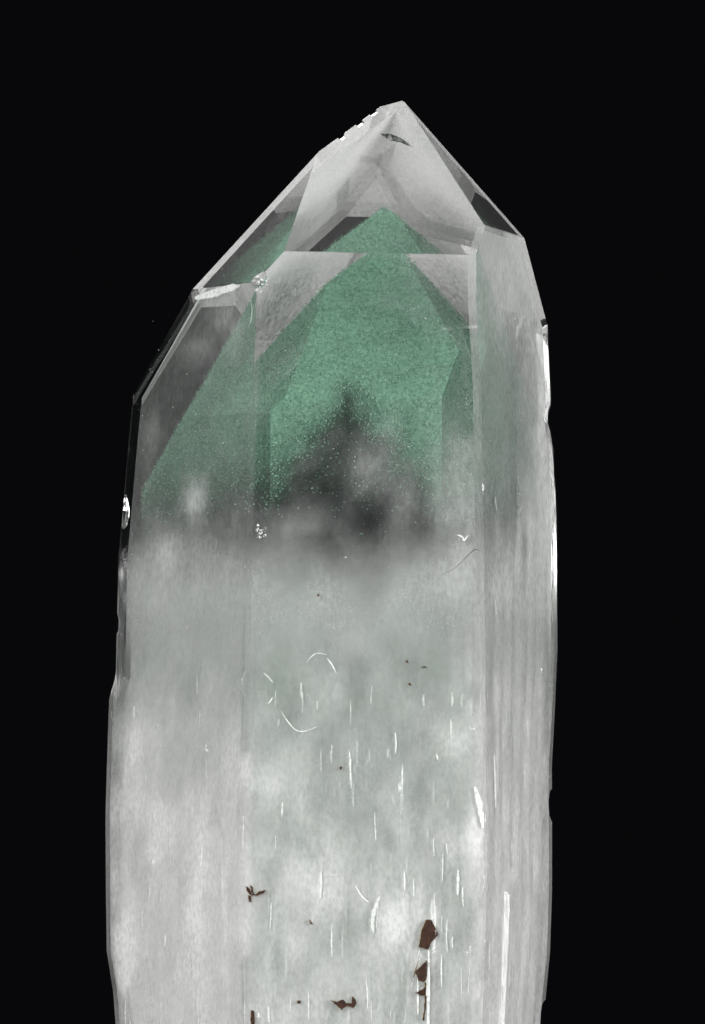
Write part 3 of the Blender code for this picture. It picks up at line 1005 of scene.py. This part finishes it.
def make_milk():
    for number, (depth, top, none, full, most) in enumerate(MILK_DEPTHS):
        steps = int(top / MILK_STEP)
        heights = {depth + (top - depth) * step / steps for step in range(steps + 1)}
        mesh = prism_mesh(heights, PRISM_GROWTH, depth, columns=MILK_COLUMNS)
        ends = [face for face in mesh.faces if len(face.verts) > 4]
        bmesh.ops.delete(mesh, geom=ends, context="FACES")

        def thickness_at(point, face, _normal):
            ragged = milk_drop(point, face) + 4.0 * billow(point, 4.0, number)
            share = smooth_share(none, full, point.z + ragged)
            share *= smooth_share(top, top - MILK_LID_FADE, point.z)
            uneven = 1.0 + 0.5 * billow(point, 1.8, number + 3.0)
            local = cloud_at(point, face) if number == 0 and point.z < MILK_TOP else 0.0
            return most * share * (uneven if most < 1.0 else 1.0) + local

        mark_vertices(mesh, "thickness", thickness_at)
        mark_vertices(mesh, "whiteness", whiteness_at)
        cloud = to_object(f"milk_cloud_{number + 1}", mesh)
        cloud.data.shade_smooth()
        cloud.data.materials.append(milk_material(f"milk_{number + 1}", 0.25 + 0.15 * number))
        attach(cloud, "root")


def haze_whiteness_at(point, _face, normal):
    """White under the caps, on the rear caps partly a painted reflection, and grey round the phantom."""
    return (1.0 if normal.z > CAP_SLOPE else HAZE_GREY) + 0.11 * billow(point, 2.0)


def make_haze():
    heights = {HAZE_FOOT} | profile_heights(PRISM_GROWTH, HAZE_FOOT, LOFT_TOP) | {LOFT_TOP}
    mesh = open_tip(heights, PRISM_GROWTH, CAP_DISTANCE, HAZE_DEPTH)
    bmesh.ops.split_edges(mesh, edges=mesh.edges[:])
    grid_cuts(mesh, HAZE_STEP)
    mark_vertices(mesh, "thickness", haze_at)
    mark_vertices(mesh, "whiteness", haze_whiteness_at)
    haze = to_object("haze", mesh)
    haze.data.materials.append(milk_material("haze", 0.3))
    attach(haze, "root")


make_milk()
make_haze()

# The cracks and feathers, with a few painted highlights.
# Thin healed cracks, scratches and white feathers of trapped bubbles lie just under the faces. Each
# is a slip of cloudy white, tapered at both ends; the open cracks near the tip are dark by painted shade.
SLIPS = [
    # the face, the width, the depth, and the places across and up that it runs through
    ("front", 0.10, 0.05, [(-9.40, 32.26), (-9.05, 31.95), (-8.70, 31.54)]),
    ("front", 0.09, 0.05, [(-4.69, 33.40), (-4.30, 32.90), (-3.98, 32.26)]),
    ("front", 0.08, 0.05, [(-9.10, 30.00), (-8.90, 30.20), (-8.75, 30.46)]),
    ("front", 0.08, 0.05, [(-8.11, 29.50), (-7.76, 28.90), (-7.05, 28.10), (-6.33, 28.00), (-5.41, 28.35)]),
    ("front", 0.07, 0.10, [(-6.26, 33.00), (-5.55, 33.70), (-4.70, 33.65)]),
    ("front", 0.16, 0.10, [(5.10, 42.60), (5.50, 42.45), (5.65, 42.20), (5.96, 42.60)]),
    ("front", 0.08, 0.05, [(-2.60, 16.70), (-2.20, 16.00), (-1.60, 15.45)]),
    ("front", 0.08, 0.10, [(-4.50, 17.50), (-4.20, 17.45), (-3.90, 17.52)]),
    # Painted highlights: this slip and the next follow the edges of the two raised plates on the front,
    # white slivers for the light those edges catch
    ("front", 0.34, 0.08, [(-0.80, 15.90), (-1.15, 15.00), (-1.33, 14.10), (-1.27, 13.20)]),
    ("front", 0.22, 0.06, [(2.86, 12.00), (2.84, 9.40), (2.80, 6.60), (2.78, 3.10)]),
    ("front", 0.20, 0.15, [(5.10, 17.90), (5.08, 17.00), (5.05, 16.00)]),
    ("front", 0.45, 0.20, [(6.40, 24.00), (6.75, 22.60), (7.00, 21.00)]),
    ("right", 0.35, 0.10, [(-7.30, 26.50), (-7.10, 24.40), (-7.00, 22.50)]),
    ("right", 0.22, 0.10, [(-6.40, 45.70), (-6.20, 45.20), (-6.05, 44.60)]),
    ("right", 0.25, 0.10, [(-6.60, 38.00), (-6.50, 37.30), (-6.20, 36.90)]),
    ("left", 0.70, 0.12, [(0.40, 60.42), (2.20, 60.60), (3.80, 60.80), (5.60, 60.98)]),
    ("left", 0.08, 0.05, [(6.90, 59.90), (7.15, 59.20), (7.10, 58.40), (6.80, 57.80)]),
]
# Open cracks, dark by painted shade: the face, the width, the depth, and the places across and up
OPEN_CRACKS = [
    ("front", 0.06, 0.10, [(3.83, 39.57), (4.90, 40.10), (5.65, 40.80), (6.41, 41.50), (6.87, 41.40)]),
]
CRACK_STEPS = 6
FEATHER_COUNT = 900
FEATHER_LENGTH = (0.5, 3.2)
FEATHER_WIDTH = (0.04, 0.20)
FEATHER_DEPTH = (0.08, 1.3)
FEATHER_TOP = 30.0
MOTE_COUNT = 900
MOTE_SIZE = (0.02, 0.07)

# The little starry breaks, their white specks partly real bruising and partly painted glints: the face, the
# place across it, the height, the radius and the number
SPARKLES = [
    ("front", -9.5, 42.6, 0.5, 46),
    ("front", -9.4, 61.2, 0.6, 40),
    ("left", 7.2, 61.0, 0.5, 30),
]


def smooth_route(points, steps):
    """Points along a smooth curve through the given ones."""
    route = []
    ends = [points[0]] + points + [points[-1]]
    for before, start, end, after in zip(ends, ends[1:], ends[2:], ends[3:]):
        for step in range(steps):
            t = step / steps
            weights = (-t + 2 * t**2 - t**3, 2 - 5 * t**2 + 3 * t**3, t + 4 * t**2 - 3 * t**3, t**3 - t**2)
            values = zip(before, start, end, after)
            route.append(tuple(sum(w * v for w, v in zip(weights, value)) / 2 for value in values))
    return route + [points[-1]]


def add_slip(mesh, face, width, depth, points, chance):
    """Add a narrow slip that follows points across and up a face, at a depth beneath it."""
    route = smooth_route(points, CRACK_STEPS)
    last = len(route) - 1
    lean = chance.uniform(-0.5, 0.5)
    rows = []
    for number, (across, height) in enumerate(route):
        before, after = route[max(0, number - 1)], route[min(last, number + 1)]
        along = Vector((after[0] - before[0], after[1] - before[1])).normalized()
        taper = math.sin(math.pi * (number + 0.5) / (last + 1)) ** 0.6
        half = width / 2 * taper * chance.uniform(0.7, 1.15)
        row = []
        for side in (-1.0, 1.0):
            place_across = across - along.y * half * side
            place_height = height + along.x * half * side
            inward = depth + max(0.0, lean * side * half)
            corner = face_point(face, place_across, place_height) - outward(face) * inward
            row.append(mesh.verts.new(corner))
        rows.append(row)
    for lower, upper in zip(rows, rows[1:]):
        mesh.faces.new((lower[0], lower[1], upper[1], upper[0]))


def face_span(face, height):
    """How far a prism face reaches to either side at a height."""
    number = FACES.index(face)
    before, after = FACES[number - 1], FACES[(number + 1) % len(FACES)]
    low = sideways(face).dot(edge_point(before, face, height))
    high = sideways(face).dot(edge_point(face, after, height))
    return low, high


def add_feathers(mesh, chance):
    """Upright white feathers, thicker on the ground towards the root."""
    for _ in range(FEATHER_COUNT):
        face = chance.choice(FACES)
        height = FEATHER_TOP * chance.random() ** 1.5 + 1.0
        length = chance.uniform(*FEATHER_LENGTH) * (0.6 + 0.4 * (1.0 - height / FEATHER_TOP))
        low, high = face_span(face, height)
        across = chance.uniform(low + 1.0, high - 1.0)
        drift_across = chance.gauss(0.0, 0.06)
        middle = (across + drift_across / 2 + chance.gauss(0.0, 0.03), height + length / 2)
        points = [(across, height), middle, (across + drift_across, height + length)]
        add_slip(mesh, face, chance.uniform(*FEATHER_WIDTH), chance.uniform(*FEATHER_DEPTH), points, chance)


def add_mote(mesh, middle, size, chance):
    """Add one tiny three-cornered scale at any slant."""
    corners = []
    lean = Vector([chance.gauss(0.0, 1.0) for _ in range(3)]).normalized()
    first = lean.orthogonal().normalized()
    second = lean.cross(first)
    turn = chance.uniform(0.0, math.tau)
    for corner in range(3):
        angle = turn + corner * math.tau / 3 + chance.uniform(-0.4, 0.4)
        corners.append(mesh.verts.new(middle + (first * math.cos(angle) + second * math.sin(angle)) * size))
    mesh.faces.new(corners)


def add_motes(mesh, chance):
    """Motes all through the outer quartz, and starry clusters of them where it is bruised, which are partly
    painted glints.
    """
    for _ in range(MOTE_COUNT):
        face = chance.choice(FACES)
        height = chance.uniform(2.0, 60.0)
        low, high = face_span(face, height)
        across = chance.uniform(low + 0.8, high - 0.8)
        middle = face_point(face, across, height) - outward(face) * chance.uniform(0.3, 2.0)
        add_mote(mesh, middle, chance.uniform(*MOTE_SIZE), chance)
    # Painted glints, partly real bruising: starry clusters of white specks
    for face, across, height, radius, count in SPARKLES:
        for _ in range(count):
            sidewards, upwards = (chance.gauss(0.0, radius * 0.45) for _ in range(2))
            middle = face_point(face, across + sidewards, height + upwards)
            middle -= outward(face) * chance.uniform(0.25, 0.8)
            add_mote(mesh, middle, chance.uniform(0.05, 0.14), chance)


def white_material():
    """Cloudy white, thinner and thicker along its length; on the plate edges and in the sparkle clusters it
    is painted highlight.
    """
    material, tree, shader = new_material("crack_white_and_painted_highlights")
    patches = drift(tree, Size=0.25, Lengthwise=1.5, Low=0.2, High=0.6, Detail=2.0)
    tint = drift(tree, Size=1.5, Low=0.3, High=0.7, Detail=1.0)
    colour = blend_colour(tree, tint, (0.86, 0.88, 0.86), (0.97, 0.97, 0.96))
    alpha = spread(tree, patches, 0.35, 0.95)
    fill(tree, shader, {"Base Color": colour, "Roughness": 0.35, "Alpha": alpha})
    return material


def painted_shade_crack_material():
    """An open crack, dark by painted shade where it mirrors nothing."""
    material, tree, shader = new_material("crack_painted_shade")
    patches = drift(tree, Size=0.3, Low=0.3, High=0.6, Detail=2.0)
    # Painted shade: near-black for a gap that mirrors nothing
    colour = blend_colour(tree, patches, (0.10, 0.11, 0.10), (0.02, 0.025, 0.022))
    alpha = spread(tree, patches, 0.3, 0.95)
    fill(tree, shader, {"Base Color": colour, "Roughness": 0.15, "Alpha": alpha})
    return material


# The open break under the front cap, dark by painted shade, as places across and up, upper side then lower
# side
TIP_BREAK = [
    (0.85, 73.25), (1.25, 73.32), (1.75, 73.22), (2.30, 72.98), (2.90, 72.55), (3.25, 72.15),
    (2.85, 72.28), (2.35, 72.55), (1.95, 72.62), (1.55, 72.68), (1.20, 72.95),
]


def finish_cracks(name, mesh, material):
    item = to_object(name, mesh)
    item.data.materials.append(material)
    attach(item, "root")


def make_cracks():
    chance = random.Random(SEED + 1)
    white = bmesh.new()
    for face, width, depth, points in SLIPS:
        add_slip(white, face, width, depth, points, chance)
    add_feathers(white, chance)
    add_motes(white, chance)
    finish_cracks("white_feathers_and_painted_highlights", white, white_material())

    dark = bmesh.new()
    for face, width, depth, points in OPEN_CRACKS:
        add_slip(dark, face, width, depth, points, chance)
    corners = []
    for across, height in TIP_BREAK:
        corners.append(dark.verts.new(cap_point("front", across, height) - cap_outward("front") * 0.12))
    made = dark.faces.new(corners)
    bmesh.ops.poke(dark, faces=[made], offset=-0.15)
    finish_cracks("open_cracks", dark, painted_shade_crack_material())


make_cracks()

# The iron stains.
# Dark red-brown iron oxide fills a few etched pits low on the front, flush with the face, each with
# a thin rusty yellow rim.
STAINS = [
    [(2.73, 14.2), (3.08, 14.15), (3.61, 13.15), (3.02, 12.5), (2.82, 12.03), (2.15, 12.2), (2.35, 13.45)],
    [(2.70, 11.2), (1.80, 10.38), (2.15, 9.74), (2.50, 9.62), (2.70, 9.85)],
    [(2.67, 9.6), (2.50, 9.15), (1.86, 8.82), (2.18, 8.66), (2.61, 8.62)],
    [(2.66, 8.6), (2.56, 8.6), (2.52, 7.6), (2.40, 6.9), (2.50, 6.8), (2.60, 7.6)],
    [
        (-4.51, 8.32), (-3.99, 8.15), (-3.58, 8.38), (-3.30, 8.03), (-2.89, 8.09), (-2.89, 8.56),
        (-2.60, 8.32), (-2.54, 8.03), (-2.78, 7.73), (-3.24, 7.90), (-3.64, 7.62), (-4.16, 8.05),
    ],
    [(-10.75, 16.6), (-10.45, 16.4), (-10.25, 15.95), (-10.4, 15.95), (-10.65, 16.2)],
    [(-10.45, 16.7), (-10.3, 16.6), (-10.12, 15.98), (-10.24, 15.94)],
    [(-10.1, 16.0), (-9.75, 16.25), (-9.3, 16.3), (-9.45, 16.1), (-9.9, 15.92)],
    [(-10.6, 15.95), (-10.42, 15.9), (-10.36, 15.4), (-10.5, 15.5)],
    [(-10.35, 7.6), (-10.15, 7.5), (-10.12, 6.2), (-10.3, 5.9), (-10.42, 6.8)],
    [(-6.9, 8.25), (-6.75, 8.28), (-6.68, 8.12), (-6.82, 8.02), (-6.95, 8.1)],
    [(-6.1, 14.15), (-5.98, 14.1), (-5.8, 13.85), (-5.92, 13.85)],
    [(1.27, 33.28), (1.38, 33.26), (1.4, 33.14), (1.3, 33.1)],
    [(2.35, 32.75), (2.6, 32.86), (2.8, 32.74), (2.58, 32.78)],
    [(1.42, 31.6), (1.54, 31.62), (1.66, 31.42), (1.5, 31.46)],
    [(-5.38, 38.08), (-5.26, 38.1), (-5.22, 37.95), (-5.34, 37.9)],
    [(-3.75, 25.4), (-3.64, 25.42), (-3.62, 25.24), (-3.72, 25.2)],
]
STAIN_TOP = 0.02
STAIN_THICKNESS = 0.3
STAIN_RAGGED = 0.0175
STAIN_STEP = 0.12
STAIN_RIM = 0.05
STAIN_UNEVEN = (-0.03, 0.015)


def stain_mesh():
    """Ragged plates, flush with the front face, that remember how near their rim each point is."""
    chance = random.Random(SEED + 2)
    mesh = bmesh.new()
    rim = mesh.verts.layers.float.new("rim")
    away = outward("front")
    for outline in STAINS:
        ragged = []
        for (start_x, start_z), (end_x, end_z) in zip(outline, outline[1:] + outline[:1]):
            count = max(2, int(math.hypot(end_x - start_x, end_z - start_z) / STAIN_STEP))
            for step in range(count):
                share = step / count
                across = start_x + (end_x - start_x) * share + chance.gauss(0.0, STAIN_RAGGED)
                height = start_z + (end_z - start_z) * share + chance.gauss(0.0, STAIN_RAGGED)
                ragged.append((across, height))
        top = [mesh.verts.new(face_point("front", *spot) - away * STAIN_TOP) for spot in ragged]
        deep = [mesh.verts.new(vert.co - away * STAIN_THICKNESS) for vert in top]
        for vert in top + deep:
            vert[rim] = 1.0
        wall(mesh, deep, top)
        mesh.faces.new(list(reversed(deep)))
        lid = mesh.faces.new(top)
        bmesh.ops.inset_individual(mesh, faces=[lid], thickness=STAIN_RIM, use_even_offset=True)
        for vert in lid.verts:
            vert[rim] = 0.0
            vert.co += away * chance.uniform(*STAIN_UNEVEN)
    return mesh


def make_stains():
    stains = to_object("iron_stains", stain_mesh())
    material, tree, shader = new_material("iron_oxide")
    mottle = drift(tree, Size=0.35, Low=0.3, High=0.7, Detail=3.0)
    brown = blend_colour(tree, mottle, (0.024, 0.011, 0.008), (0.055, 0.026, 0.016))
    rusty = blend_colour(tree, stored(tree, "rim"), brown, (0.30, 0.20, 0.05))
    rough = spread(tree, mottle, 0.5, 0.8)
    fill(tree, shader, {"Base Color": rusty, "Roughness": rough, "Specular IOR Level": 0.15})
    stains.data.materials.append(material)
    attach(stains, "root")


make_stains()

# The studio.
# A pale round stand under the cut base in a dark surround, as in a display case, with broad soft
# lights in front to both sides, above and behind, all out of the way of the faces' mirror images.
STAND_RADIUS = 84.0
STAND_THICKNESS = 4.0
STAND_BEVEL = 0.6
STAND_GAP = 0.02
CAMERA_TURN = -10.5
CAMERA_REACH = 587.6
CAMERA_HEIGHT = 5.5
CAMERA_AIM = 45.2
CAMERA_LENS = 273.9
SURROUND = (0.0025, 0.0025, 0.003)
SOFTBOXES = [
    # the place, the width and height, and the power
    ((-0.26, -0.46, 0.12), (0.22, 0.34), 2.6),
    ((0.43, -0.36, 0.14), (0.24, 0.34), 3.0),
    ((-0.16, 0.04, 0.50), (0.20, 0.20), 1.4),
    ((-0.10, 0.42, 0.44), (0.30, 0.30), 1.2),
]
LIGHT_AIM = (0.0, 0.0, 0.04)


def make_floor():
    """The stand, spun from half of its cross-section."""
    mesh = bmesh.new()
    turned = [
        (STAND_RADIUS, -STAND_THICKNESS), (STAND_RADIUS, -STAND_BEVEL),
        (STAND_RADIUS - STAND_BEVEL, -STAND_GAP), (0.0, -STAND_GAP),
    ]
    verts = [mesh.verts.new((reach, 0.0, height)) for reach, height in turned]
    edges = [mesh.edges.new(pair) for pair in zip(verts, verts[1:])]
    bmesh.ops.spin(mesh, geom=verts + edges, axis=(0, 0, 1), cent=(0, 0, 0), angle=math.tau, steps=128)
    bmesh.ops.remove_doubles(mesh, verts=mesh.verts[:], dist=0.001)
    stand = to_object("floor", mesh)
    material, tree, shader = new_material("floor")
    fill(tree, shader, {"Base Color": (0.72, 0.72, 0.71, 1.0), "Roughness": 0.85})
    stand.data.materials.append(material)


def make_lights():
    for number, (spot, (width, height), power) in enumerate(SOFTBOXES):
        light = bpy.data.lights.new(f"softbox_{number + 1}", "AREA")
        light.shape = "RECTANGLE"
        light.size = width
        light.size_y = height
        light.energy = power
        item = bpy.data.objects.new(light.name, light)
        item.location = spot
        item.rotation_euler = (Vector(LIGHT_AIM) - item.location).to_track_quat("-Z", "Y").to_euler()
        item.visible_camera = False
        bpy.context.scene.collection.objects.link(item)
    world = bpy.data.worlds.new("surround")
    world.use_nodes = True
    world.node_tree.nodes["Background"].inputs["Color"].default_value = (*SURROUND, 1.0)
    bpy.context.scene.world = world


def make_camera():
    camera_data = bpy.data.cameras.new("camera")
    camera_data.lens = CAMERA_LENS
    camera_data.sensor_width = 36.0
    camera_data.clip_start = 0.01
    camera = bpy.data.objects.new("camera", camera_data)
    turn = math.radians(CAMERA_TURN)
    away = Vector((math.sin(turn) * CAMERA_REACH, -math.cos(turn) * CAMERA_REACH, CAMERA_HEIGHT))
    camera.location = (AXIS + away) * MM
    aim = (AXIS + Vector((0.0, 0.0, CAMERA_AIM))) * MM
    camera.rotation_euler = (aim - camera.location).to_track_quat("-Z", "Y").to_euler()
    bpy.context.scene.collection.objects.link(camera)
    bpy.context.scene.camera = camera


make_floor()
make_lights()
make_camera()

cycles = bpy.context.scene.cycles
cycles.max_bounces = 10
cycles.diffuse_bounces = 2
cycles.transmission_bounces = 10
cycles.transparent_max_bounces = 24
cycles.caustics_reflective = False
cycles.caustics_refractive = False
bpy.context.scene.view_settings.view_transform = "Standard"
